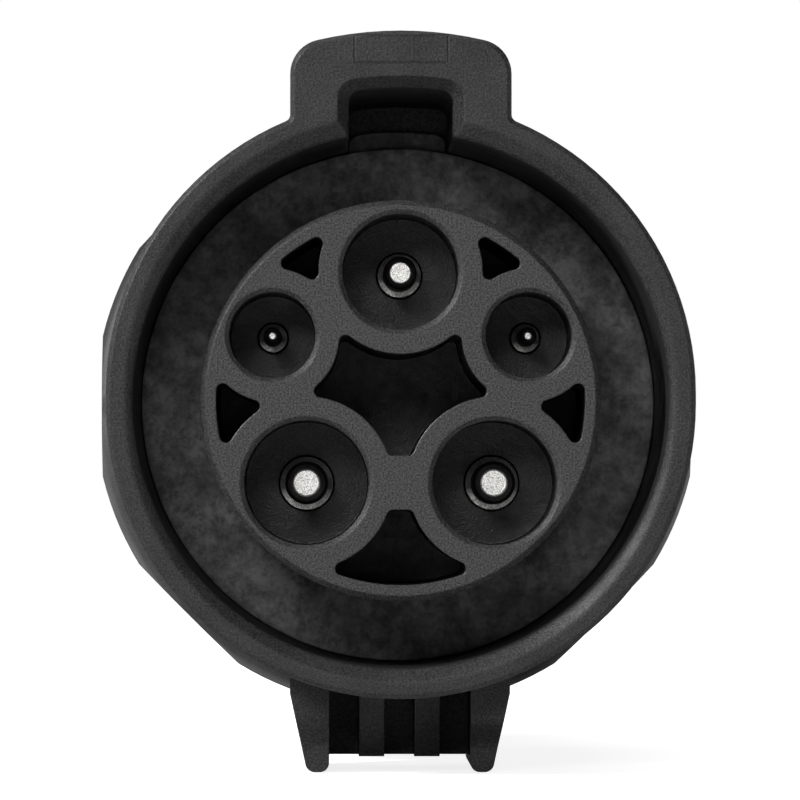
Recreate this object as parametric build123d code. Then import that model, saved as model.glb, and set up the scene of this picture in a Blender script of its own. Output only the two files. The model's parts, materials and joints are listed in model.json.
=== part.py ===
from build123d import *
from collections import namedtuple
import math
import os

os.makedirs("parts", exist_ok=True)

# Axes: looking into the inlet, X is to the right and Z is up, and Y runs back towards the plug.
# The origin is on the inlet's axis, in the plane of the shroud's front edge. Sizes are millimetres.

# Where the five contacts stand in the inlet
power_spread = 7.85
power_drop = 6.85
earth_rise = 10.75
signal_spread = 10.7
signal_rise = 5.45

# Contact insert: the round block with the five wells
power_well_radius = 5.2
earth_well_radius = 4.85
signal_well_radius = 3.6
well_depth = 12.0
well_mouth = 0.36
well_wall = 2.0
insert_set_back = 3.0
insert_rim = 1.11
insert_edge = 0.45
flange_thickness = 6.0
hub_inset = 1.23
hub_length = 6.5
tongue_rise = 1.5
tongue_thickness = 1.2
rim_wall = 1.33
web_height = 4.5
pocket_depth = 22.0
pocket_corner = 0.55

# Inlet shroud: the ring round the cavity that takes the supply plug
cavity_gap = 5.57
cavity_depth = 27.5
cavity_lead_side = 0.5
cavity_lead_stretch = 0.75
cavity_lead_depth = 1.0
shroud_side_wall = 2.2
shroud_stretch = 0.45
shroud_rise = 0.15
shroud_edge = 0.35
ledge_thickness = 2.5
skirt_length = 3.0
skirt_inset = 0.6

# Key tab on top of the ring, with the slot for the supply plug's rib
tab_half_width = 9.2
tab_height = 5.6
tab_corner = 2.9
tab_root_round = 0.6
tab_tail_length = 7.0
tab_tail_height = 0.6
slot_half_width = 4.33
slot_rise = 3.7
slot_overrun = 3.5
slot_corner = 1.0
slot_mouth_corner = 1.6
slot_lead = 0.95
slot_lead_depth = 1.2

# Latch catch below the ring: two fins, a cross wall and two ramp ribs in front of it
fin_inner = 5.95
fin_tip_thickness = 1.85
fin_root_thickness = 3.3
fin_root_sink = 0.3
fin_height = 6.4
fin_front = 8.0
fin_step_start = 2.2
fin_step_height = 1.7
fin_step_back = 1.5
fin_step_round = 2.0
fin_tip_round = 0.8
fin_heel = 2.2
catch_height = 5.2
catch_root_sink = 2.3
catch_wall_front = 19.0
catch_wall_thickness = 3.0
rib_offset = 2.35
rib_thickness = 2.15
rib_front = 10.0
rib_ramp_length = 3.5

# Male pins
power_pin_radius = 1.8
earth_pin_radius = 1.4
signal_pin_radius = 0.75
power_tip_flat = 1.02
earth_tip_flat = 0.83
signal_tip_flat = 0.25
pin_tip_depth = 6.0
pin_nose_length = 1.1
pin_shoulder = 0.45
collar_height = 0.8
pin_flange_thickness = 1.5
seal_section = 1.6
gland_slack = 0.2

# Conductors and the crimp barrels that hold them
power_core_radius = 2.05
earth_core_radius = 1.6
signal_core_radius = 0.6
barrel_wall = 1.0
barrel_length = 9.0
crimp_depth = 7.0
sheath_thickness = 0.9
wire_crossing = 7.8

# Grip body: the eight-sided housing
grip_front_lip = 0.9
grip_flare = 1.7
grip_flare_length = 4.5
grip_flare_knee = 0.6
grip_flat_cut = 0.73
grip_wall = 2.8
grip_length = 43.0
grip_edge = 0.5
bulkhead_thickness = 3.0
groove_wall = 0.7
boss_radius = 3.4
boss_length = 14.0
gasket_thickness = 0.8
gasket_inset = 0.6

# Plug nose with the five socket chambers
nose_flange_thickness = 4.0
nose_flange_edge = 0.5
nose_length = 35.2
nose_wall = 5.0
nose_tip_round = 2.0
nose_lip = 2.0
lock_recess_half_width = 4.0
lock_recess_length = 7.0
lock_recess_depth = 3.0
lock_recess_set_back = 13.0
socket_power_spread = 9.6
socket_power_drop = 5.2
socket_earth_rise = 9.6
socket_signal_spread = 9.0
socket_signal_rise = 6.4

# Female sockets
power_socket_bore = 4.0
earth_socket_bore = 2.25
signal_socket_bore = 1.25
socket_wall = 1.0
socket_reach = 26.0
socket_mouth_gap = 0.4
socket_mouth_margin = 0.45
socket_mouth_chamfer = 0.7
socket_slot_width = 0.4
socket_slot_length = 14.0
socket_guide_length = 6.0
socket_flange_thickness = 2.0
socket_flange_overhang = 0.7
spring_thickness = 0.6
spring_length = 4.0
spring_set_back = 3.0
spring_opening = 1.4

# Retainer plates
pin_plate_thickness = 2.5
socket_plate_thickness = 2.5
plate_edge_gap = 0.6

# Screws
large_screw_radius = 1.5
large_head_radius = 2.75
large_head_height = 2.0
small_screw_radius = 1.1
small_head_radius = 2.1
small_head_height = 1.5
bulkhead_screw_skin = 0.7
nose_screw_bite = 11.0
plate_screw_bite = 5.5
drive_share = 0.5
nose_screw_circle = 22.2
nose_screw_angle = 22.0
bulkhead_screw_angle = 45.0
pin_plate_screw_radius = 12.4
pin_plate_screw_tilt = 94.5
socket_plate_screw_radius = 14.5
socket_plate_screw_tilt = 102.0

# Clearances
fit = 0.1
seal_fit = 0.03
screw_clearance = 0.1
hole_end_clearance = 0.3
chamber_clearance = 0.3

# Depths along Y that follow from the sizes above
insert_back = cavity_depth + flange_thickness
shroud_back = insert_back + ledge_thickness
shroud_length = shroud_back - skirt_length
tab_flat_length = shroud_length - tab_tail_length
slot_depth = cavity_depth + slot_overrun
hub_back = insert_back + hub_length
well_floor = insert_set_back + well_depth
pin_flange_front = hub_back - pin_flange_thickness
gland_front = pin_flange_front - seal_section - gland_slack
pin_barrel_end = hub_back + barrel_length
bulkhead_back = shroud_back + bulkhead_thickness
bulkhead_screw_bite = flange_thickness - bulkhead_screw_skin - hole_end_clearance
grip_back = shroud_length + grip_length
nose_front = grip_back + gasket_thickness
nose_shoulder = nose_front + nose_flange_thickness
nose_end = nose_shoulder + nose_length
socket_mouth = nose_end - nose_lip - socket_mouth_gap
socket_barrel_end = nose_front - barrel_length

# Radii that follow from the sizes above
insert_radius = insert_rim + max(
    math.hypot(power_spread, power_drop) + power_well_radius,
    math.hypot(signal_spread, signal_rise) + signal_well_radius,
    earth_rise + earth_well_radius,
)
cavity_radius = insert_radius + cavity_gap
hub_radius = insert_radius - hub_inset
shroud_radius = cavity_radius + shroud_side_wall
shroud_top = shroud_rise + shroud_stretch + shroud_radius
shroud_bottom = shroud_radius + shroud_stretch - shroud_rise
tab_radius = shroud_top + tab_height
slot_radius = cavity_radius + slot_rise
tongue_radius = cavity_radius + tongue_rise
fin_root_depth = shroud_bottom - fin_root_sink
fin_depth = shroud_bottom + fin_height
catch_depth = shroud_bottom + catch_height
skirt_radius = shroud_radius - skirt_inset
grip_mouth_radius = skirt_radius + fit
grip_front_radius = grip_mouth_radius + grip_front_lip
grip_corner_radius = grip_front_radius + grip_flare
grip_flat_distance = grip_corner_radius - grip_flat_cut
grip_bore_radius = grip_flat_distance - grip_wall
hub_opening = hub_radius + 3 * fit
bulkhead_screw_circle = (hub_opening + cavity_radius) / 2
groove_outer = skirt_radius - groove_wall
groove_inner = groove_outer - seal_section
socket_plate_radius = nose_screw_circle - boss_radius - plate_edge_gap

OVERSHOOT = 1.0

Contact = namedtuple(
    "Contact",
    "name x z pin tip well shank gland flange core barrel sheath plug_x plug_z bore tube chamber",
)


def contact(name, side, place, plug_place, pin, tip, well, core, bore):
    """One circuit: its place in the inlet and in the plug, and the radii of what it is made of."""
    shank = pin + pin_shoulder
    gland = shank + seal_section
    barrel = core + barrel_wall
    tube = bore + socket_wall
    return Contact(
        name=name,
        x=side * place[0],
        z=place[1],
        pin=pin,
        tip=tip,
        well=well,
        shank=shank,
        gland=gland,
        flange=gland - fit,
        core=core,
        barrel=barrel,
        sheath=core + sheath_thickness,
        plug_x=side * plug_place[0],
        plug_z=plug_place[1],
        bore=bore,
        tube=tube,
        chamber=tube + spring_thickness + chamber_clearance,
    )


def power_contact(name, side):
    place = (power_spread, -power_drop)
    plug_place = (socket_power_spread, -socket_power_drop)
    return contact(name, side, place, plug_place, power_pin_radius, power_tip_flat,
                   power_well_radius, power_core_radius, power_socket_bore)


def signal_contact(name, side):
    place = (signal_spread, signal_rise)
    plug_place = (socket_signal_spread, socket_signal_rise)
    return contact(name, side, place, plug_place, signal_pin_radius, signal_tip_flat,
                   signal_well_radius, signal_core_radius, signal_socket_bore)


def earth_contact(name):
    place = (0.0, earth_rise)
    plug_place = (0.0, socket_earth_rise)
    return contact(name, 1, place, plug_place, earth_pin_radius, earth_tip_flat,
                   earth_well_radius, earth_core_radius, earth_socket_bore)


CONTACTS = [
    power_contact("line", -1),
    power_contact("neutral", 1),
    earth_contact("earth"),
    signal_contact("proximity", -1),
    signal_contact("pilot", 1),
]


def station(y):
    """The plane across the axis at depth y, with its normal towards the inlet's front."""
    return Plane(origin=(0, y, 0), x_dir=(1, 0, 0), z_dir=(0, -1, 0))


def prism(sketch, front, back):
    """A sketch of the cross section carried from depth front to depth back."""
    return extrude(station(back) * sketch, amount=back - front)


def turned(*outline, at=(0.0, 0.0)):
    """A solid of revolution about a line along Y, from an outline of (radius, depth) points."""
    profile = make_face(Polyline(*outline, close=True))
    return Pos(at[0], 0, at[1]) * revolve(profile, axis=Axis.Y)


def rod(radius, front, back, at=(0.0, 0.0)):
    return turned((0, front), (radius, front), (radius, back), (0, back), at=at)


def ring_of(count, radius, first_angle, step=None):
    """Places on a circle, from an angle measured from +X."""
    step = 360 / count if step is None else step
    angles = [math.radians(first_angle + step * i) for i in range(count)]
    return [(radius * math.cos(a), radius * math.sin(a)) for a in angles]


def bulkhead_screw_places():
    return ring_of(4, bulkhead_screw_circle, bulkhead_screw_angle)


def nose_screw_places():
    top = ring_of(2, nose_screw_circle, 90 - nose_screw_angle, 2 * nose_screw_angle)
    return top + [(x, -z) for x, z in top]


def plate_screw_places(radius, tilt):
    """One place at the bottom and one on each side, tilt degrees away from it."""
    return ring_of(3, radius, -90 - tilt, tilt)


def pin_plate_screw_places():
    return plate_screw_places(pin_plate_screw_radius, pin_plate_screw_tilt)


def socket_plate_screw_places():
    return plate_screw_places(socket_plate_screw_radius, socket_plate_screw_tilt)


def screw(radius, head_radius, head_height, length):
    """A hexagon socket screw whose head sits on Y = 0 and whose shank runs towards -Y."""
    body = rod(head_radius, 0, head_height) + rod(radius, -length, 0)
    drive = RegularPolygon(head_radius * drive_share, 6)
    return body - prism(drive, head_height * drive_share, head_height + OVERSHOOT)


def screws(places, seat, size, length, towards_front=True):
    """A set of equal screws with their heads seated at depth seat."""
    one = screw(*size, length)
    if not towards_front:
        one = mirror(one, about=Plane.XZ)
    return Compound(children=[Pos(x, seat, z) * one for x, z in places])


LARGE_SCREW = (large_screw_radius, large_head_radius, large_head_height)
SMALL_SCREW = (small_screw_radius, small_head_radius, small_head_height)


def drill(body, places, radius, front, back):
    for place in places:
        body -= rod(radius, front, back, at=place)
    return body


# Inlet shroud


def arched(half_width, top_radius, corner):
    """An upright outline from the axis up to an arc concentric with the inlet."""
    bar = Pos(0, top_radius / 2) * Rectangle(2 * half_width, top_radius)
    outline = bar & Circle(top_radius)
    return fillet(outline.vertices().sort_by(Axis.Y)[-2:], corner)


def shroud_outline():
    """The ring and the key tab in one outline, with the hollow corners rounded."""
    ring = SlotCenterToCenter(2 * shroud_stretch, 2 * shroud_radius, rotation=90)
    outline = Pos(0, shroud_rise) * ring + arched(tab_half_width, tab_radius, tab_corner)
    on_sides = [v for v in outline.vertices() if abs(abs(v.X) - tab_half_width) < 0.001]
    roots = sorted(on_sides, key=lambda v: v.Y)[:2]
    return fillet(roots, tab_root_round)


def tab_slope():
    """Everything under the tab's top, which slopes down to the ring before the grip."""
    tail_radius = shroud_top + tab_tail_height
    beyond = tab_radius + OVERSHOOT
    return turned(
        (0, -OVERSHOOT),
        (beyond, -OVERSHOOT),
        (beyond, tab_flat_length),
        (tab_radius, tab_flat_length),
        (tail_radius, shroud_length),
        (0, shroud_length),
    )


def catch_fins():
    tip_outer = fin_inner + fin_tip_thickness
    root_outer = fin_inner + fin_root_thickness
    buried = shroud_bottom - catch_root_sink
    section = make_face(Polyline(
        (fin_inner, -buried),
        (fin_inner, -fin_depth),
        (tip_outer, -fin_depth),
        (root_outer, -fin_root_depth),
        (root_outer, -buried),
        close=True,
    ))
    tips = section.vertices().sort_by(Axis.Y)[:2]
    section = fillet(tips, min(fin_tip_round, 0.45 * fin_tip_thickness))
    step_top = shroud_bottom + fin_step_start
    step_bottom = step_top + fin_step_height
    side = make_face(Polyline(
        (fin_front, -buried + OVERSHOOT),
        (fin_front, -step_top),
        (fin_front + fin_step_back, -step_bottom),
        (fin_front + fin_step_back, -fin_depth - OVERSHOOT),
        (shroud_length - fin_heel, -fin_depth - OVERSHOOT),
        (shroud_length - fin_heel, -fin_depth + fin_heel),
        (shroud_length, -fin_root_depth),
        (shroud_length, -buried + OVERSHOOT),
        close=True,
    ))
    step_corners = [v for v in side.vertices() if -step_bottom - 0.001 < v.Y < -step_top + 0.001]
    side = fillet(step_corners, fin_step_round)
    fin = prism(section, fin_front, shroud_length)
    fin &= extrude(Plane.YZ * side, amount=root_outer + OVERSHOOT)
    return [fin, mirror(fin, about=Plane.YZ)]


def catch_wall():
    top = catch_root_sink - shroud_bottom
    wall = Pos(0, (top - catch_depth) / 2) * Rectangle(2 * fin_inner, top + catch_depth)
    return prism(wall, catch_wall_front, catch_wall_front + catch_wall_thickness)


def catch_ribs():
    top = catch_root_sink - shroud_bottom
    side = make_face(Polyline(
        (rib_front, top),
        (rib_front, -shroud_bottom),
        (rib_front + rib_ramp_length, -catch_depth),
        (catch_wall_front, -catch_depth),
        (catch_wall_front, top),
        close=True,
    ))
    rib = extrude(Plane.YZ * side, amount=rib_thickness / 2, both=True)
    return [Pos(rib_offset, 0, 0) * rib, Pos(-rib_offset, 0, 0) * rib]


def cavity_leads():
    """Two cones, centred above and below the axis, that open the cavity's front edge."""
    mouth = cavity_radius + cavity_lead_side
    slope = (cavity_lead_side + cavity_lead_stretch) / cavity_lead_depth
    end = 2 * cavity_lead_depth
    cone = turned(
        (0, -OVERSHOOT),
        (mouth + slope * OVERSHOOT, -OVERSHOOT),
        (mouth - slope * end, end),
        (0, end),
    )
    return [Pos(0, 0, shroud_rise + side * cavity_lead_stretch) * cone for side in (1, -1)]


def slot_cut():
    """The key slot, with sloped faces round its mouth."""
    slot = arched(slot_half_width, slot_radius, slot_corner)
    mouth = arched(slot_half_width + slot_lead, slot_radius + slot_lead, slot_mouth_corner)
    lead = loft([station(0) * mouth, station(slot_lead_depth) * slot], ruled=True)
    return prism(slot, -OVERSHOOT, slot_depth) + lead


def make_inlet_shroud():
    shroud = prism(shroud_outline(), 0, shroud_length) & tab_slope()
    front_edges = shroud.faces().sort_by(Axis.Y)[0].outer_wire().edges()
    shroud = chamfer(front_edges, shroud_edge)
    shroud += rod(skirt_radius, shroud_length, shroud_back)
    for piece in catch_fins() + [catch_wall()] + catch_ribs():
        shroud += piece
    for cone in cavity_leads():
        shroud -= cone
    shroud -= rod(cavity_radius, -OVERSHOOT, insert_back)
    shroud -= rod(hub_opening, insert_back - OVERSHOOT, shroud_back + OVERSHOOT)
    shroud -= slot_cut()
    hole = large_screw_radius + 2 * screw_clearance
    return drill(shroud, bulkhead_screw_places(), hole,
                 insert_back - OVERSHOOT, shroud_back + OVERSHOOT)


# Contact insert


def pocket_outlines():
    """What is left of the face between the rim, the walls of the wells and the web."""
    region = Circle(insert_radius - rim_wall)
    for c in CONTACTS:
        region -= Pos(c.x, c.z) * Circle(c.well + well_wall)
    region -= Pos(0, -power_drop) * Rectangle(2 * power_spread, web_height)
    return fillet(region.vertices(), pocket_corner)


def make_contact_insert():
    insert = turned(
        (0, insert_set_back),
        (insert_radius - insert_edge, insert_set_back),
        (insert_radius, insert_set_back + insert_edge),
        (insert_radius, cavity_depth),
        (cavity_radius - fit, cavity_depth),
        (cavity_radius - fit, insert_back),
        (hub_radius, insert_back),
        (hub_radius, hub_back),
        (0, hub_back),
    )
    tongue = arched(slot_half_width - fit, tongue_radius, slot_corner)
    insert += prism(tongue, slot_depth - fit - tongue_thickness, slot_depth - fit)
    insert -= prism(pocket_outlines(), insert_set_back - OVERSHOOT, insert_set_back + pocket_depth)
    for c in CONTACTS:
        place = (c.x, c.z)
        mouth = c.well + well_mouth
        insert -= turned(
            (0, insert_set_back - OVERSHOOT),
            (mouth + OVERSHOOT, insert_set_back - OVERSHOOT),
            (c.well, insert_set_back + well_mouth),
            (c.well, well_floor),
            (0, well_floor),
            at=place,
        )
        insert -= rod(c.shank + fit, well_floor - OVERSHOOT, gland_front + OVERSHOOT, at=place)
        insert -= rod(c.gland, gland_front, hub_back + OVERSHOOT, at=place)
    insert = drill(insert, bulkhead_screw_places(), large_screw_radius + screw_clearance,
                   insert_back - bulkhead_screw_bite - hole_end_clearance, insert_back + OVERSHOOT)
    return drill(insert, pin_plate_screw_places(), small_screw_radius + screw_clearance,
                 hub_back - plate_screw_bite - hole_end_clearance, hub_back + OVERSHOOT)


# Male pins, their seals and the plate that holds them


def make_pin(c):
    """A turned pin: bevelled nose, shank, sealing flange and crimp barrel."""
    collar_front = well_floor - collar_height
    return turned(
        (0, pin_tip_depth),
        (c.tip, pin_tip_depth),
        ((c.tip + 2 * c.pin) / 3, pin_tip_depth + pin_nose_length / 3),
        (c.pin, pin_tip_depth + pin_nose_length),
        (c.pin, collar_front),
        (c.shank, collar_front),
        (c.shank, pin_flange_front),
        (c.flange, pin_flange_front),
        (c.flange, hub_back),
        (c.barrel, hub_back),
        (c.barrel, pin_barrel_end),
        (c.core + fit, pin_barrel_end),
        (c.core + fit, pin_barrel_end - crimp_depth),
        (0, pin_barrel_end - crimp_depth),
        at=(c.x, c.z),
    )


def seal_ring(inner, outer, front, back, at=(0.0, 0.0)):
    """A rubber ring of rectangular section, a little clear of its groove on every side."""
    low = inner + seal_fit
    high = outer - seal_fit
    return turned(
        (low, front + seal_fit),
        (high, front + seal_fit),
        (high, back - seal_fit),
        (low, back - seal_fit),
        at=at,
    )


def make_pin_seal(c):
    return seal_ring(c.shank, c.gland, gland_front + gland_slack, pin_flange_front, at=(c.x, c.z))


def make_pin_retainer():
    plate = rod(hub_radius - fit, hub_back, hub_back + pin_plate_thickness)
    for c in CONTACTS:
        plate -= rod(c.barrel + 2 * fit, hub_back - OVERSHOOT,
                     hub_back + pin_plate_thickness + OVERSHOOT, at=(c.x, c.z))
    return drill(plate, pin_plate_screw_places(), small_screw_radius + screw_clearance,
                 hub_back - OVERSHOOT, hub_back + pin_plate_thickness + OVERSHOOT)


# Grip body and its seals


def eight_sided(corner_radius, flat_distance):
    """A round outline with eight flats, one of them square to each axis."""
    polygon = RegularPolygon(flat_distance, 8, major_radius=False, rotation=22.5)
    return Circle(corner_radius) & polygon


def grip_flare_limit():
    """The turned form that brings the grip's front down to the shroud in two slopes."""
    knee = (grip_front_radius + grip_flare * grip_flare_knee, shroud_length + grip_flare_length / 3)
    return turned(
        (0, shroud_length),
        (grip_front_radius, shroud_length),
        knee,
        (grip_corner_radius, shroud_length + grip_flare_length),
        (grip_corner_radius, grip_back),
        (0, grip_back),
    )


def make_grip_body():
    grip = prism(eight_sided(grip_corner_radius, grip_flat_distance), shroud_length, grip_back)
    grip &= grip_flare_limit()
    back_edges = grip.faces().sort_by(Axis.Y)[-1].outer_wire().edges()
    grip = chamfer(back_edges, grip_edge)
    grip -= rod(grip_mouth_radius, shroud_length - OVERSHOOT, shroud_back)
    grip -= rod(hub_opening, shroud_back - OVERSHOOT, bulkhead_back + OVERSHOOT)
    grip -= rod(grip_bore_radius, bulkhead_back, grip_back + OVERSHOOT)
    for place in nose_screw_places():
        grip += rod(boss_radius, grip_back - boss_length, grip_back, at=place)
    grip -= turned(
        (groove_inner, shroud_back - OVERSHOOT),
        (groove_outer, shroud_back - OVERSHOOT),
        (groove_outer, shroud_back + seal_section),
        (groove_inner, shroud_back + seal_section),
    )
    hole = large_screw_radius + 2 * screw_clearance
    grip = drill(grip, bulkhead_screw_places(), hole,
                 shroud_back - OVERSHOOT, bulkhead_back + OVERSHOOT)
    return drill(grip, nose_screw_places(), large_screw_radius + screw_clearance,
                 grip_back - nose_screw_bite - hole_end_clearance, grip_back + OVERSHOOT)


def make_body_seal():
    return seal_ring(groove_inner, groove_outer, shroud_back, shroud_back + seal_section)


def make_nose_gasket():
    outline = eight_sided(grip_corner_radius - gasket_inset, grip_flat_distance - gasket_inset)
    outline -= Circle(grip_bore_radius)
    for place in nose_screw_places():
        outline += Pos(*place) * Circle(boss_radius)
    for place in nose_screw_places():
        outline -= Pos(*place) * Circle(large_screw_radius + 2 * screw_clearance)
    return prism(outline, grip_back, nose_front)


# Plug nose, its sockets and the plate that holds them


def nose_outline():
    """A smooth hull round the five chambers, one wall thickness outside them."""
    circles = [Pos(c.plug_x, c.plug_z) * Circle(c.chamber + nose_wall) for c in CONTACTS]
    return make_hull([edge for circle in circles for edge in circle.edges()])


def make_plug_nose():
    flange = prism(eight_sided(grip_corner_radius, grip_flat_distance), nose_front, nose_shoulder)
    flange = chamfer(flange.faces().sort_by(Axis.Y)[-1].outer_wire().edges(), nose_flange_edge)
    body = prism(nose_outline(), nose_shoulder, nose_end)
    body = fillet(body.faces().sort_by(Axis.Y)[-1].outer_wire().edges(), nose_tip_round)
    nose = flange + body
    chamber_end = nose_end - nose_lip
    for c in CONTACTS:
        place = (c.plug_x, c.plug_z)
        mouth = c.bore + socket_mouth_margin
        flange_radius = c.chamber + socket_flange_overhang + fit
        nose -= turned(
            (0, nose_front - OVERSHOOT),
            (flange_radius, nose_front - OVERSHOOT),
            (flange_radius, nose_front + socket_flange_thickness),
            (c.chamber, nose_front + socket_flange_thickness),
            (c.chamber, chamber_end),
            (mouth, chamber_end),
            (mouth, nose_end - socket_mouth_chamfer),
            (mouth + socket_mouth_chamfer + OVERSHOOT, nose_end + OVERSHOOT),
            (0, nose_end + OVERSHOOT),
            at=place,
        )
    top = max(c.plug_z + c.chamber + nose_wall for c in CONTACTS)
    recess_back = nose_end - lock_recess_set_back
    recess = Pos(0, recess_back - lock_recess_length / 2, top) * Box(
        2 * lock_recess_half_width, lock_recess_length, 2 * lock_recess_depth)
    nose -= recess
    head_hole = large_head_radius + 2 * fit
    head_seat = nose_shoulder - large_head_height - 2 * fit
    nose = drill(nose, nose_screw_places(), head_hole, head_seat, nose_shoulder + OVERSHOOT)
    nose = drill(nose, nose_screw_places(), large_screw_radius + 2 * screw_clearance,
                 nose_front - OVERSHOOT, head_seat + OVERSHOOT)
    return drill(nose, socket_plate_screw_places(), small_screw_radius + screw_clearance,
                 nose_front - OVERSHOOT, nose_front + plate_screw_bite + hole_end_clearance)


def make_socket(c):
    """A turned socket: crimp barrel, flange, guide and a slotted tube open to the rear."""
    guide_end = nose_front + socket_flange_thickness + socket_guide_length
    socket = turned(
        (0, socket_barrel_end + crimp_depth),
        (c.core + fit, socket_barrel_end + crimp_depth),
        (c.core + fit, socket_barrel_end),
        (c.barrel, socket_barrel_end),
        (c.barrel, nose_front),
        (c.chamber + socket_flange_overhang, nose_front),
        (c.chamber + socket_flange_overhang, nose_front + socket_flange_thickness),
        (c.chamber - fit, nose_front + socket_flange_thickness),
        (c.chamber - fit, guide_end),
        (c.tube, guide_end),
        (c.tube, socket_mouth),
        (c.bore, socket_mouth),
        (c.bore, socket_mouth - socket_reach),
        (0, socket_mouth - socket_reach),
    )
    slot_middle = socket_mouth - socket_slot_length / 2 + OVERSHOOT / 2
    span = 2 * (c.tube + OVERSHOOT)
    slot_size = socket_slot_length + OVERSHOOT
    socket -= Pos(0, slot_middle, 0) * Box(span, slot_size, socket_slot_width)
    socket -= Pos(0, slot_middle, 0) * Box(socket_slot_width, slot_size, span)
    return Pos(c.plug_x, 0, c.plug_z) * socket


def make_socket_spring(c):
    """An open spring band round the tines."""
    inner = c.tube + seal_fit
    back = socket_mouth - spring_set_back
    band = Circle(inner + spring_thickness) - Circle(inner)
    opening = Pos(0, inner + spring_thickness / 2) * Rectangle(spring_opening, 2 * spring_thickness)
    return Pos(c.plug_x, 0, c.plug_z) * prism(band - opening, back - spring_length, back)


def make_socket_retainer():
    front = nose_front - socket_plate_thickness
    plate = rod(socket_plate_radius, front, nose_front)
    for c in CONTACTS:
        plate -= rod(c.barrel + 2 * fit, front - OVERSHOOT, nose_front + OVERSHOOT,
                     at=(c.plug_x, c.plug_z))
    return drill(plate, socket_plate_screw_places(), small_screw_radius + screw_clearance,
                 front - OVERSHOOT, nose_front + OVERSHOOT)


# Conductors


def make_wire(c):
    """An insulated wire from crimp to crimp, with the bare core inside each barrel."""
    start = Vector(c.x, pin_barrel_end, c.z)
    end = Vector(c.plug_x, socket_barrel_end, c.plug_z)
    wire_lead = (socket_barrel_end - pin_barrel_end - wire_crossing) / 2
    route = [start, start + Vector(0, wire_lead, 0), end - Vector(0, wire_lead, 0), end]
    crossing = route[2] - route[1]
    turn = math.radians(crossing.get_angle(Vector(0, 1, 0)))
    shorter = min(wire_lead, crossing.length)
    bend = 0.45 * shorter / math.tan(turn / 2)
    print(f"{c.name} wire bend radius {bend:.1f}")
    path = FilletPolyline(*route, radius=bend)
    wire = sweep(Plane(origin=start, z_dir=(0, 1, 0)) * Circle(c.sheath), path=path)
    wire += rod(c.core, pin_barrel_end - crimp_depth + fit, pin_barrel_end, at=(c.x, c.z))
    wire += rod(c.core, socket_barrel_end, socket_barrel_end + crimp_depth - fit,
                at=(c.plug_x, c.plug_z))
    return wire


def save(shape, name):
    shape.label = name
    export_step(shape, f"parts/{name}.step")


def build():
    save(make_inlet_shroud(), "inlet_shroud")
    save(make_contact_insert(), "contact_insert")
    for c in CONTACTS:
        save(make_pin(c), f"{c.name}_pin")
        save(make_pin_seal(c), f"{c.name}_pin_seal")
        save(make_socket(c), f"{c.name}_socket")
        save(make_socket_spring(c), f"{c.name}_socket_spring")
        save(make_wire(c), f"{c.name}_wire")
    save(make_pin_retainer(), "pin_retainer")
    save(screws(pin_plate_screw_places(), hub_back + pin_plate_thickness, SMALL_SCREW,
                pin_plate_thickness + plate_screw_bite), "pin_retainer_screws")
    save(make_grip_body(), "grip_body")
    save(make_body_seal(), "body_seal")
    save(screws(bulkhead_screw_places(), bulkhead_back, LARGE_SCREW,
                bulkhead_back - insert_back + bulkhead_screw_bite), "bulkhead_screws")
    save(make_nose_gasket(), "nose_gasket")
    save(make_plug_nose(), "plug_nose")
    head_seat = nose_shoulder - large_head_height - 2 * fit
    save(screws(nose_screw_places(), head_seat, LARGE_SCREW,
                head_seat - grip_back + nose_screw_bite), "nose_screws")
    save(make_socket_retainer(), "socket_retainer")
    save(screws(socket_plate_screw_places(), nose_front - socket_plate_thickness, SMALL_SCREW,
                socket_plate_thickness + plate_screw_bite, towards_front=False),
         "socket_retainer_screws")


build()
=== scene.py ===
import json
import math

import bmesh
import bpy
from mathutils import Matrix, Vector


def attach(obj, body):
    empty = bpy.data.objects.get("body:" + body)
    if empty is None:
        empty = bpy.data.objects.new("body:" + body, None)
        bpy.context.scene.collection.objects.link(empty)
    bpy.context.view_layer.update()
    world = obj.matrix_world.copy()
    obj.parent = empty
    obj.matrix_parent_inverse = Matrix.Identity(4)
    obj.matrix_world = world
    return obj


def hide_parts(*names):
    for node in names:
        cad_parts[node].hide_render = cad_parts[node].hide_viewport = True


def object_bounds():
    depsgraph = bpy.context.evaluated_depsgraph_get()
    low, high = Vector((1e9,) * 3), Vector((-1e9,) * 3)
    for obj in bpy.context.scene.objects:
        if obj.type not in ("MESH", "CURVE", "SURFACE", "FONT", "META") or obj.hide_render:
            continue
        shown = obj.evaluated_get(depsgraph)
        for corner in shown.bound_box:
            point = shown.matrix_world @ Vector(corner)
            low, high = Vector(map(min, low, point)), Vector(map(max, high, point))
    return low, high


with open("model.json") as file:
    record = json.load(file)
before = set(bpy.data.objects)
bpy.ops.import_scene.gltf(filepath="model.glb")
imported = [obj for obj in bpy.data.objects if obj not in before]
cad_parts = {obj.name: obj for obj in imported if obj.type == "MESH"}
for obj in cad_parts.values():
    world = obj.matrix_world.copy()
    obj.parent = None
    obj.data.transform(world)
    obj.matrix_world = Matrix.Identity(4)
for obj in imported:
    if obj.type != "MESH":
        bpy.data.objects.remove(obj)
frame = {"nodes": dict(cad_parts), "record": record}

cad_low, cad_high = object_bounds()
MM = 0.001
SLOT_OF = {s["node"]: s["material_slot"] for s in frame["record"]["subparts"]}


def stand(thing, place, aim):
    """Puts a camera or a lamp at one point and turns it towards another."""
    place, aim = Vector(place), Vector(aim)
    thing.location = place
    thing.rotation_mode = "QUATERNION"
    thing.rotation_quaternion = (aim - place).to_track_quat("-Z", "Y")
    bpy.context.scene.collection.objects.link(thing)


# Camera: almost straight into the inlet, a little left of its axis and below it

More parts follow.
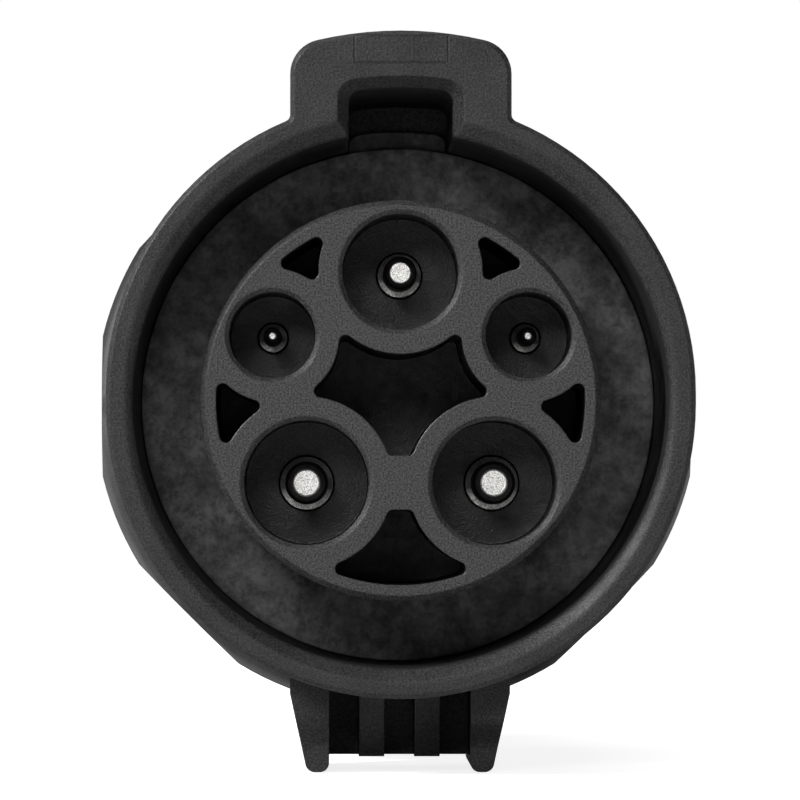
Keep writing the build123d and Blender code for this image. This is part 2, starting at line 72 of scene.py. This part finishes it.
CAMERA_PLACE = Vector((-6.3, -600.0, -8.7)) * MM
CAMERA_AIM = Vector((-0.08, 0.0, 0.0)) * MM
PIXELS_PER_RADIAN = 7236
FRAME_PIXELS = 800
SENSOR_MM = 36.0
CLIP_NEAR = 0.01                 # both in metres
CLIP_FAR = 50.0


def make_camera():
    """The camera, with its lens set by the pixels that a small angle covers."""
    data = bpy.data.cameras.new("photo_camera")
    data.sensor_width = SENSOR_MM
    data.lens = PIXELS_PER_RADIAN * SENSOR_MM / FRAME_PIXELS
    data.clip_start = CLIP_NEAR
    data.clip_end = CLIP_FAR
    camera = bpy.data.objects.new("photo_camera", data)
    stand(camera, CAMERA_PLACE, CAMERA_AIM)
    bpy.context.scene.camera = camera


# Light, in metres and watts: a key from the upper left, a strip above the camera, a raking lamp
# for the edges on the left, soft sides, a box overhead and two rims from behind

AIM_FRONT = (0, 0.02, 0)
AIM_RIMS = (0, 0.05, 0)
AIM_TOP = (0, 0.06, 0)
LAMPS = (
    # name, place, aim, width and height, power
    ("key_left", (-0.21, -1.00, 0.30), AIM_FRONT, (0.18, 0.18), 1.5),
    ("top_front", (0.05, -1.00, 0.41), AIM_FRONT, (0.30, 0.12), 1.1),
    ("edge_left", (-0.80, -0.45, 0.58), AIM_FRONT, (0.16, 0.20), 11.5),
    ("side_right", (0.95, -0.55, 0.10), AIM_FRONT, (0.30, 0.60), 0.8),
    ("side_left", (-1.05, -0.40, -0.02), AIM_FRONT, (0.30, 0.50), 0.8),
    ("top_box", (0.0, 0.15, 1.10), AIM_TOP, (1.0, 1.0), 4.0),
    ("rim_left", (-0.80, 0.62, 0.18), AIM_RIMS, (0.4, 0.5), 1.8),
    ("rim_right", (0.80, 0.70, 0.25), AIM_RIMS, (0.4, 0.5), 2.6),
)


def make_lights():
    """One rectangular area lamp for each row of the table."""
    for name, place, aim, (width, height), power in LAMPS:
        data = bpy.data.lights.new(name, "AREA")
        data.shape = "RECTANGLE"
        data.size = width
        data.size_y = height
        data.energy = power
        stand(bpy.data.objects.new(name, data), place, aim)


# World and floor

WHITE = (1, 1, 1, 1)
WORLD_LIGHT = 0.07               # strength of the world as a light
FLOOR_PAINT = 0.66               # grey that the lamps fall on
FLOOR_HALF = 4.0                 # half the floor's width, in metres
FLOOR_GAP = 0.05 * MM            # room between the part and the floor
FLOOR_REACH = (0.10, 0.45)       # the glow grows between these distances from the origin
FLOOR_GLOW = (0.82, 1.0)         # its strength for the camera, near the part and far from it


def make_world():
    """White where the camera looks at it, and a soft grey as a light."""
    world = bpy.data.worlds.new("studio")
    bpy.context.scene.world = world
    world.use_nodes = True
    nodes = world.node_tree.nodes
    links = world.node_tree.links
    nodes.clear()
    lit = nodes.new("ShaderNodeBackground")
    seen = nodes.new("ShaderNodeBackground")
    for background, strength in ((lit, WORLD_LIGHT), (seen, 1.0)):
        background.inputs["Color"].default_value = WHITE
        background.inputs["Strength"].default_value = strength
    path = nodes.new("ShaderNodeLightPath")
    mix = nodes.new("ShaderNodeMixShader")
    out = nodes.new("ShaderNodeOutputWorld")
    links.new(path.outputs["Is Camera Ray"], mix.inputs[0])
    links.new(lit.outputs[0], mix.inputs[1])
    links.new(seen.outputs[0], mix.inputs[2])
    links.new(mix.outputs[0], out.inputs["Surface"])


def pale_floor_material():
    """Diffuse paint that takes the shadow, and a glow that only the camera sees."""
    mat = bpy.data.materials.new("pale_floor")
    mat.use_nodes = True
    nodes = mat.node_tree.nodes
    links = mat.node_tree.links
    nodes.clear()
    paint = nodes.new("ShaderNodeBsdfDiffuse")
    paint.inputs["Color"].default_value = (FLOOR_PAINT, FLOOR_PAINT, FLOOR_PAINT, 1)
    place = nodes.new("ShaderNodeTexCoord")
    away = nodes.new("ShaderNodeVectorMath")
    away.operation = "LENGTH"
    links.new(place.outputs["Object"], away.inputs[0])
    reach = nodes.new("ShaderNodeMapRange")
    reach.interpolation_type = "SMOOTHSTEP"
    ends = ("From Min", "From Max", "To Min", "To Max")
    for socket, value in zip(ends, FLOOR_REACH + FLOOR_GLOW):
        reach.inputs[socket].default_value = value
    links.new(away.outputs["Value"], reach.inputs["Value"])
    path = nodes.new("ShaderNodeLightPath")
    lift = nodes.new("ShaderNodeMath")
    lift.operation = "MULTIPLY"
    links.new(path.outputs["Is Camera Ray"], lift.inputs[0])
    links.new(reach.outputs["Result"], lift.inputs[1])
    glow = nodes.new("ShaderNodeEmission")
    glow.inputs["Color"].default_value = WHITE
    links.new(lift.outputs[0], glow.inputs["Strength"])
    add = nodes.new("ShaderNodeAddShader")
    links.new(paint.outputs[0], add.inputs[0])
    links.new(glow.outputs[0], add.inputs[1])
    out = nodes.new("ShaderNodeOutputMaterial")
    links.new(add.outputs[0], out.inputs["Surface"])
    return mat


def make_floor():
    """A plain pale floor that reads as white, and keeps the object's shadow."""
    mesh = bpy.data.meshes.new("floor")
    half = FLOOR_HALF
    z = cad_low.z - FLOOR_GAP
    mesh.from_pydata([(-half, -half, z), (half, -half, z), (half, half, z), (-half, half, z)],
                     [], [(0, 1, 2, 3)])
    mesh.materials.append(pale_floor_material())
    floor = bpy.data.objects.new("floor", mesh)
    bpy.context.scene.collection.objects.link(floor)


# Materials

BEVEL_SAMPLES = 8
CREST_RANGE = (0.90, 0.985)      # agreement of true and rounded normal on a crest and off it
RUB_GRAIN_MM = 0.6               # edges are rubbed unevenly, in patches of this size
RUB_LEAST = 0.55                 # share of the wear that the least rubbed patches show


def scaled(tone, factor):
    """A colour made brighter or darker by a factor."""
    return [c * factor for c in tone]


class Shader:
    """A material whose nodes are added one after another."""

    def __init__(self, name):
        self.material = bpy.data.materials.new(name)
        self.material.use_nodes = True
        self.nodes = self.material.node_tree.nodes
        self.links = self.material.node_tree.links
        self.nodes.clear()
        self.bsdf = self.nodes.new("ShaderNodeBsdfPrincipled")
        out = self.nodes.new("ShaderNodeOutputMaterial")
        self.links.new(self.bsdf.outputs[0], out.inputs["Surface"])
        places = self.nodes.new("ShaderNodeTexCoord")
        self.place = places.outputs["Object"]
        self.in_own_box = places.outputs["Generated"]

    def use(self, socket, value):
        """Links a value to a socket of the surface."""
        self.links.new(value, self.bsdf.inputs[socket])

    def fix(self, socket, number):
        """Sets a number that is the same all over the surface."""
        self.bsdf.inputs[socket].default_value = number

    def noise(self, size_mm, detail=2.0, roughness=0.5):
        """Noise whose grains are about size_mm across."""
        node = self.nodes.new("ShaderNodeTexNoise")
        node.inputs["Scale"].default_value = 1.0 / (size_mm * MM)
        node.inputs["Detail"].default_value = detail
        node.inputs["Roughness"].default_value = roughness
        self.links.new(self.place, node.inputs["Vector"])
        return node.outputs["Fac"]

    def spread(self, value, low, high, start=0.3, end=0.7):
        """Value carried from the range start..end to the range low..high."""
        node = self.nodes.new("ShaderNodeMapRange")
        node.inputs["From Min"].default_value = start
        node.inputs["From Max"].default_value = end
        node.inputs["To Min"].default_value = low
        node.inputs["To Max"].default_value = high
        self.links.new(value, node.inputs["Value"])
        return node.outputs["Result"]

    def spread_mm(self, distance, low, high, range_mm):
        """The same for a distance in metres, whose range is given in millimetres."""
        start, end = range_mm
        return self.spread(distance, low, high, start * MM, end * MM)

    def blend(self, value, first, second):
        """A colour between first and second, by value."""
        node = self.nodes.new("ShaderNodeMix")
        node.data_type = "RGBA"
        node.inputs["A"].default_value = (*first, 1)
        node.inputs["B"].default_value = (*second, 1)
        self.links.new(value, node.inputs["Factor"])
        return node.outputs["Result"]

    def maths(self, operation, first, second=0):
        """One operation on two values, each of them a number or a socket."""
        node = self.nodes.new("ShaderNodeMath")
        node.operation = operation
        for socket, value in zip(node.inputs, (first, second)):
            if isinstance(value, (int, float)):
                socket.default_value = value
            else:
                self.links.new(value, socket)
        return node.outputs[0]

    def plus(self, first, second):
        return self.maths("ADD", first, second)

    def less(self, first, second):
        return self.maths("SUBTRACT", first, second)

    def times(self, first, second):
        return self.maths("MULTIPLY", first, second)

    def larger(self, first, second):
        return self.maths("MAXIMUM", first, second)

    def bump(self, height, depth_mm, under):
        """The normals under it, tilted by a height that is depth_mm at 1."""
        node = self.nodes.new("ShaderNodeBump")
        node.inputs["Distance"].default_value = depth_mm * MM
        self.links.new(height, node.inputs["Height"])
        self.links.new(under, node.inputs["Normal"])
        return node.outputs["Normal"]

    def edges(self, radius_mm, radius=None):
        """Normals that run round each edge; radius, in metres, may vary from spot to spot."""
        node = self.nodes.new("ShaderNodeBevel")
        node.samples = BEVEL_SAMPLES
        node.inputs["Radius"].default_value = radius_mm * MM
        if radius is not None:
            self.links.new(radius, node.inputs["Radius"])
        return node.outputs["Normal"]

    def wear(self, rounded):
        """How far each spot lies over an edge: 0 on the flats, 1 on the crest."""
        node = self.nodes.new("ShaderNodeVectorMath")
        node.operation = "DOT_PRODUCT"
        self.links.new(self.nodes.new("ShaderNodeNewGeometry").outputs["Normal"], node.inputs[0])
        self.links.new(rounded, node.inputs[1])
        crest = self.spread(node.outputs["Value"], 1, 0, *CREST_RANGE)
        rubbed = self.spread(self.noise(RUB_GRAIN_MM, detail=3.0), RUB_LEAST, 1.0)
        return self.times(crest, rubbed)

    def along(self, axis):
        """The object coordinate along one axis, in metres."""
        return self.part_of(self.place, axis)

    def part_of(self, vector, axis):
        """One of the three parts of a vector."""
        node = self.nodes.new("ShaderNodeSeparateXYZ")
        self.links.new(vector, node.inputs["Vector"])
        return node.outputs[axis]

    def off_axis(self):
        """The distance from the inlet's axis, in metres."""
        node = self.nodes.new("ShaderNodeVectorMath")
        node.operation = "LENGTH"
        flat = self.nodes.new("ShaderNodeCombineXYZ")
        self.links.new(self.along("X"), flat.inputs["X"])
        self.links.new(self.along("Z"), flat.inputs["Z"])
        self.links.new(flat.outputs[0], node.inputs[0])
        return node.outputs["Value"]


# Moulded plastic: shares of noise in its tint and its relief, and its rubbed edges, painted paler
# partly as wear and partly as a painted highlight

BLACK = (0.0145, 0.0145, 0.015)
PLATE_GREY = (0.06, 0.06, 0.06)
SPARK_GRAIN_MM = 0.17
SPECK_RANGE = (0.36, 0.66)       # noise that gives the darkest and the palest specks
SPECK_TONES = (0.1, 2.5)         # these specks, against the stated tone
COARSE_GRAIN = 2.6               # size of the coarse grain, against the fine one
COARSE_HEIGHT = 0.7              # and its height
GRAIN_SHARE = 0.75               # of the grain in the tint, where the cloud has the rest
ROUGH_CLOUD = 0.06               # roughness above and below the stated one
PLASTIC_EDGE_MM = 0.22
# edges are painted paler by this much: partly rubbed wear, partly a painted highlight
PLASTIC_RUBBED_AND_HIGHLIGHT_TINT = 0.25
PLASTIC_RUBBED_ROUGH = 0.22
PLASTIC_SPECULAR = 0.44

# The faint rectangle on the tab's face, in mm: its middle, half its sides and its line's width
TAB_MARK = ((0.04, 29.15), (3.88, 1.13), 0.12)
MARK_DEPTH_MM = (0.3, 0.6)       # it fades out between these depths behind the face
MARK_TINT = 0.28
MARK_HEIGHT = 1.6

# Softer edges round the cavity's mouth, in mm: how far from the axis they reach, and their radius
MOUTH_EDGE = (23.9, 0.75)
MOUTH_FADE_MM = 0.4


def witness_line(s, middle_mm, half_mm, width_mm):
    """A rectangle left on the face by a mould insert: 1 on its line and 0 beside it."""
    over = []
    for axis, middle, half in zip("XZ", middle_mm, half_mm):
        away = s.maths("ABSOLUTE", s.less(s.along(axis), middle * MM))
        over.append(s.less(away, half * MM))
    outside = s.maths("ABSOLUTE", s.larger(*over))
    line = s.spread_mm(outside, 1, 0, (0, width_mm))
    return s.times(line, s.spread_mm(s.along("Y"), 1, 0, MARK_DEPTH_MM))


def moulded_plastic(name, tone, relief_mm, rough, grain_mm=SPARK_GRAIN_MM, witness=None,
                    soft=None):
    """Moulded plastic: spark texture, fine pale specks and softly rounded, rubbed edges, painted
    paler partly as wear and partly as a painted highlight.
    """
    s = Shader(name)
    grain = s.noise(grain_mm, detail=1.0)
    coarse = s.noise(grain_mm * COARSE_GRAIN, detail=1.0)
    cloud = s.noise(size_mm=4.0, detail=4.0, roughness=0.62)
    tint = s.plus(s.times(grain, GRAIN_SHARE), s.times(cloud, 1 - GRAIN_SHARE))
    tint = s.spread(tint, 0, 1, *SPECK_RANGE)
    height = s.plus(grain, s.times(coarse, COARSE_HEIGHT))
    if witness is not None:
        line = witness_line(s, *witness)
        tint = s.less(tint, s.times(line, MARK_TINT))
        height = s.less(height, s.times(line, MARK_HEIGHT))
    radius = None
    if soft is not None:
        within_mm, radius_mm = soft
        radius = s.spread_mm(s.off_axis(), radius_mm * MM, PLASTIC_EDGE_MM * MM,
                             (within_mm - MOUTH_FADE_MM, within_mm))
    rounded = s.edges(PLASTIC_EDGE_MM, radius)
    worn = s.wear(rounded)
    # edges painted paler, partly as rubbed wear and partly as a painted highlight
    tint = s.plus(tint, s.times(worn, PLASTIC_RUBBED_AND_HIGHLIGHT_TINT))
    dark, pale = SPECK_TONES
    s.use("Base Color", s.blend(tint, scaled(tone, dark), scaled(tone, pale)))
    s.use("Roughness", s.less(s.spread(cloud, rough + ROUGH_CLOUD, rough - ROUGH_CLOUD),
                              s.times(worn, PLASTIC_RUBBED_ROUGH)))
    s.fix("Specular IOR Level", PLASTIC_SPECULAR)
    s.use("Normal", s.bump(height, relief_mm, under=rounded))
    return s.material


# The contact insert: depths and distances from the axis at which its look changes, in mm

INSERT_TONE = (0.031, 0.031, 0.0315)
WELL_SHADE_MM = (4, 10)          # the wells' walls are painted darker, as painted shade, between these depths
WELL_GLOSS_MM = (6, 11)          # and smoother between these
FLANGE_DEPTH_MM = (18, 22)       # the flange, the floor of the cavity, begins here
FLANGE_INSIDE_MM = (16.4, 16.8)  # distances from the axis at which it begins
FLANGE_OUTSIDE_MM = (21.4, 22.6) # and at which it is painted darker, as painted shade close to the cavity's wall
# painted shade: tone of the flange beside the cavity's wall
FLANGE_WALL_PAINTED_SHADE = 0.3
# painted shade: tone of the wells' walls against the face
WELL_PAINTED_SHADE = 0.45
FACE_TINT = (0.2, 2.05)          # darkest and palest specks of the face
MOTTLE_AND_PAINTED_LIGHT = (2.4, 8.4)         # the same for the flange's mottling, set far paler than the face as painted light on the cavity's floor
CLOUD_TINT = (0.55, 1.7)         # and for the clouds that this is multiplied by
MOTTLE_RANGE = (0.36, 0.68)
CLOUD_RANGE = (0.36, 0.64)
TINT_LIMIT = 10                  # a blend stops at 1, so tints up to 10 are blended as tenths
FACE_ROUGH = 0.52
WELL_ROUGH = 0.40
ROUGH_MOTTLE = (0.10, -0.12)
INSERT_RUBBED_ROUGH = 0.24
INSERT_RELIEF_MM = 0.026
MOTTLE_HEIGHT = 2.0


def insert_plastic(name, tone):
    """The insert: spark texture on its face, painted shade in the wells, and a cloudy flange
    behind them, painted paler as painted light and darker near the cavity's wall as painted
    shade.
    """
    s = Shader(name)
    depth = s.along("Y")
    away = s.off_axis()
    deep = s.spread_mm(depth, 0, 1, FLANGE_DEPTH_MM)
    shallow = s.less(1.0, deep)
    flange = s.times(deep, s.spread_mm(away, 0, 1, FLANGE_INSIDE_MM))
    # painted shade darkens the flange close to the cavity's wall
    flange = s.times(flange, s.spread_mm(away, 1, FLANGE_WALL_PAINTED_SHADE, FLANGE_OUTSIDE_MM))
    grain = s.noise(size_mm=0.15, detail=1.0)
    coarse = s.noise(size_mm=0.40, detail=1.0)
    mottle = s.noise(size_mm=0.9, detail=5.0, roughness=0.72)
    cloud = s.noise(size_mm=4.0, detail=3.0, roughness=0.6)
    # speckled face, with painted shade darkening the wells
    face_specks_and_well_shade = s.times(s.spread(grain, *FACE_TINT, *SPECK_RANGE),
                        s.spread_mm(depth, 1.0, WELL_PAINTED_SHADE, WELL_SHADE_MM))
    # the flange is painted several times paler than the face: random mottling plus painted light
    flange_mottle_and_painted_light = s.times(s.spread(mottle, *MOTTLE_AND_PAINTED_LIGHT, *MOTTLE_RANGE),
                          s.spread(cloud, *CLOUD_TINT, *CLOUD_RANGE))
    tint = s.plus(s.times(face_specks_and_well_shade, shallow), s.times(flange_mottle_and_painted_light, flange))
    s.use("Base Color", s.blend(s.times(tint, 1 / TINT_LIMIT), (0, 0, 0),
                                scaled(tone, TINT_LIMIT)))
    rounded = s.edges(PLASTIC_EDGE_MM)
    worn = s.wear(rounded)
    rough = s.plus(s.spread_mm(depth, FACE_ROUGH, WELL_ROUGH, WELL_GLOSS_MM),
                   s.times(s.spread(mottle, *ROUGH_MOTTLE),
                           s.spread_mm(depth, 0, 1, WELL_GLOSS_MM)))
    s.use("Roughness", s.less(rough, s.times(worn, INSERT_RUBBED_ROUGH)))
    height = s.plus(s.times(s.plus(grain, coarse), shallow),
                    s.times(mottle, s.times(deep, MOTTLE_HEIGHT)))
    s.use("Normal", s.bump(height, INSERT_RELIEF_MM, under=rounded))
    return s.material


# Metal: the pins keep the plating's full tone on their flat ends, with painted shade on their
# noses and shanks and a painted highlight on the lower part of their collars, and the sockets
# keep the full tone again. Depths are in mm from the inlet's front edge

PLATING_DARK = (0.02, 0.02, 0.02)
PLATING_PALE = (1.0, 0.99, 0.96)
PIN_END_MM = (6.02, 6.12)        # the flat ends stop and the painted shade on the noses starts
# painted shade: tone of the noses and shanks against the flat ends
PIN_SHANK_PAINTED_SHADE = 0.05
SOCKET_MM = (30, 50)
# depths at which the painted highlight on the collars begins
COLLAR_MM = (12.8, 13.6)
COLLAR_PAINTED_HIGHLIGHT = (0.20, 0.46)        # share of a piece's own height at which the painted highlight low on the collars ends
PLATING_TINT = (0.40, 1.1)
PLATING_RANGE = (0.38, 0.58)
PLATING_ROUGH = (0.36, 0.5)
PLATING_RUBBED_ROUGH = 0.06
PLATING_RELIEF_MM = 0.03
METAL_EDGE_MM = 0.06

SPRING_TONE = (0.62, 0.61, 0.60)
SPRING_ROUGH = 0.30
SCREW_TONE = (0.55, 0.55, 0.54)
SCREW_ROUGH = 0.34
STEEL_TONES = (0.88, 1.05)       # darkest and palest spots, against the stated tone
STEEL_CLOUD = 0.7                # share of the clouds in them, and of the rubbed edges
STEEL_RUBBED_TINT = 0.3
STEEL_ROUGH_GRAIN = 0.08
STEEL_RUBBED_ROUGH = 0.08
STEEL_RELIEF_MM = 0.003


def plated_contact(name):
    """Silver-plated copper alloy, finely tumbled: speckled ends, painted shade on the noses and
    shanks down in the wells, and a painted highlight low on the collars.
    """
    s = Shader(name)
    grain = s.noise(size_mm=0.13, detail=2.0, roughness=0.75)
    cloud = s.noise(size_mm=0.8, detail=3.0)
    depth = s.along("Y")
    # painted highlight: the lower part of the collars is painted pale
    collar_highlight = s.times(s.spread(s.part_of(s.in_own_box, "Z"), 1.0, 0, *COLLAR_PAINTED_HIGHLIGHT),
                     s.spread_mm(depth, 0, 1, COLLAR_MM))
    # painted shade on the noses and shanks, with the sockets back at full tone
    painted_light_and_shade = s.larger(s.spread_mm(depth, 1.0, PIN_SHANK_PAINTED_SHADE, PIN_END_MM),
                      s.spread_mm(depth, 0, 1, SOCKET_MM))
    painted_light_and_shade = s.larger(painted_light_and_shade, collar_highlight)
    tint = s.times(s.spread(grain, *PLATING_TINT, *PLATING_RANGE), painted_light_and_shade)
    rounded = s.edges(METAL_EDGE_MM)
    s.use("Base Color", s.blend(tint, PLATING_DARK, PLATING_PALE))
    s.use("Roughness", s.less(s.spread(cloud, *PLATING_ROUGH),
                              s.times(s.wear(rounded), PLATING_RUBBED_ROUGH)))
    s.fix("Metallic", 1.0)
    s.use("Normal", s.bump(grain, PLATING_RELIEF_MM, under=rounded))
    return s.material


def steel(name, tone, rough):
    """Zinc plated or plain steel: fine grain, brighter and smoother on its edges."""
    s = Shader(name)
    grain = s.noise(size_mm=0.15, detail=2.0)
    cloud = s.noise(size_mm=1.5, detail=3.0)
    rounded = s.edges(METAL_EDGE_MM)
    worn = s.wear(rounded)
    shade = s.plus(s.spread(cloud, 0, STEEL_CLOUD), s.times(worn, STEEL_RUBBED_TINT))
    dark, pale = STEEL_TONES
    s.use("Base Color", s.blend(shade, scaled(tone, dark), scaled(tone, pale)))
    grained = s.spread(grain, rough - STEEL_ROUGH_GRAIN, rough + STEEL_ROUGH_GRAIN)
    s.use("Roughness", s.less(grained, s.times(worn, STEEL_RUBBED_ROUGH)))
    s.fix("Metallic", 1.0)
    s.use("Normal", s.bump(grain, STEEL_RELIEF_MM, under=rounded))
    return s.material


# Rubber: the seals and the sheaths of the conductors

SEAL_BLACK = (0.022, 0.022, 0.022)
SHEATH_BLACK = (0.03, 0.03, 0.03)
SHEATH_RED = (0.45, 0.03, 0.025)
SHEATH_GREEN = (0.03, 0.26, 0.07)
SHEATH_BLUE = (0.03, 0.10, 0.40)
SHEATH_WHITE = (0.66, 0.66, 0.64)
RUBBER_EDGE_MM = 0.08
RUBBER_TONES = (0.85, 1.05)
RUBBER_CLOUD = 0.8
RUBBER_RUBBED_TINT = 0.2
RUBBER_ROUGH = (0.55, 0.75)
RUBBER_RELIEF_MM = 0.01


def rubber(name, tone):
    """Moulded rubber or extruded sheath: fine grain, a little paler on its edges."""
    s = Shader(name)
    grain = s.noise(size_mm=0.12, detail=2.0)
    cloud = s.noise(size_mm=2.0, detail=3.0)
    rounded = s.edges(RUBBER_EDGE_MM)
    shade = s.plus(s.spread(cloud, 0, RUBBER_CLOUD),
                   s.times(s.wear(rounded), RUBBER_RUBBED_TINT))
    dark, pale = RUBBER_TONES
    s.use("Base Color", s.blend(shade, scaled(tone, dark), scaled(tone, pale)))
    s.use("Roughness", s.spread(grain, *RUBBER_ROUGH))
    s.use("Normal", s.bump(grain, RUBBER_RELIEF_MM, under=rounded))
    return s.material


def make_materials():
    """One material for each slot of the record, by the slot's name."""
    return {
        "shroud_plastic": moulded_plastic("shroud_plastic", BLACK, relief_mm=0.030, rough=0.50,
                                          witness=TAB_MARK, soft=MOUTH_EDGE),
        "insert_plastic": insert_plastic("insert_plastic", INSERT_TONE),
        "grip_plastic": moulded_plastic("grip_plastic", BLACK, relief_mm=0.018, rough=0.40),
        "nose_plastic": moulded_plastic("nose_plastic", BLACK, relief_mm=0.018, rough=0.46),
        "plate_plastic": moulded_plastic("plate_plastic", PLATE_GREY, relief_mm=0.01, rough=0.45,
                                         grain_mm=0.2),
        "contact_plating": plated_contact("contact_plating"),
        "spring_steel": steel("spring_steel", SPRING_TONE, SPRING_ROUGH),
        "screw_steel": steel("screw_steel", SCREW_TONE, SCREW_ROUGH),
        "seal_rubber": rubber("seal_rubber", SEAL_BLACK),
        "black_sheath": rubber("black_sheath", SHEATH_BLACK),
        "red_sheath": rubber("red_sheath", SHEATH_RED),
        "green_sheath": rubber("green_sheath", SHEATH_GREEN),
        "blue_sheath": rubber("blue_sheath", SHEATH_BLUE),
        "white_sheath": rubber("white_sheath", SHEATH_WHITE),
    }


# Pieces: four mouldings are drawn again from their own meshes with smooth shading, and every
# other node is shown as it is

SMOOTHED = ("inlet_shroud", "contact_insert", "grip_body", "plug_nose")
SHARP_ANGLE = math.radians(32.0)
MERGE_WITHIN = 0.001 * MM
NO_LENGTH = 0.0001 * MM


def smooth_copy(node, material):
    """The node's own form with its surfaces joined, so that light runs smoothly over them."""
    source = frame["nodes"][node]
    bm = bmesh.new()
    bm.from_mesh(source.data)
    bmesh.ops.remove_doubles(bm, verts=bm.verts, dist=MERGE_WITHIN)
    bmesh.ops.dissolve_degenerate(bm, edges=bm.edges, dist=NO_LENGTH)
    for face in bm.faces:
        face.smooth = True
    for edge in bm.edges:
        edge.smooth = len(edge.link_faces) == 2 and edge.calc_face_angle(0.0) < SHARP_ANGLE
    mesh = bpy.data.meshes.new(node + "_form")
    bm.to_mesh(mesh)
    bm.free()
    piece = bpy.data.objects.new(node + "_form", mesh)
    bpy.context.scene.collection.objects.link(piece)
    piece.data.materials.append(material)
    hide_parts(node)
    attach(piece, "root")


def dress_node(piece, material):
    """Shows a CAD node as it is, in the material of its slot."""
    piece.data.materials.clear()
    piece.data.materials.append(material)


def main():
    make_camera()
    make_lights()
    make_world()
    make_floor()
    materials = make_materials()
    for node in SMOOTHED:
        smooth_copy(node, materials[SLOT_OF[node]])
    for node, piece in frame["nodes"].items():
        if node not in SMOOTHED:
            dress_node(piece, materials[SLOT_OF[node]])
    bpy.context.scene.view_settings.view_transform = "Standard"


main()
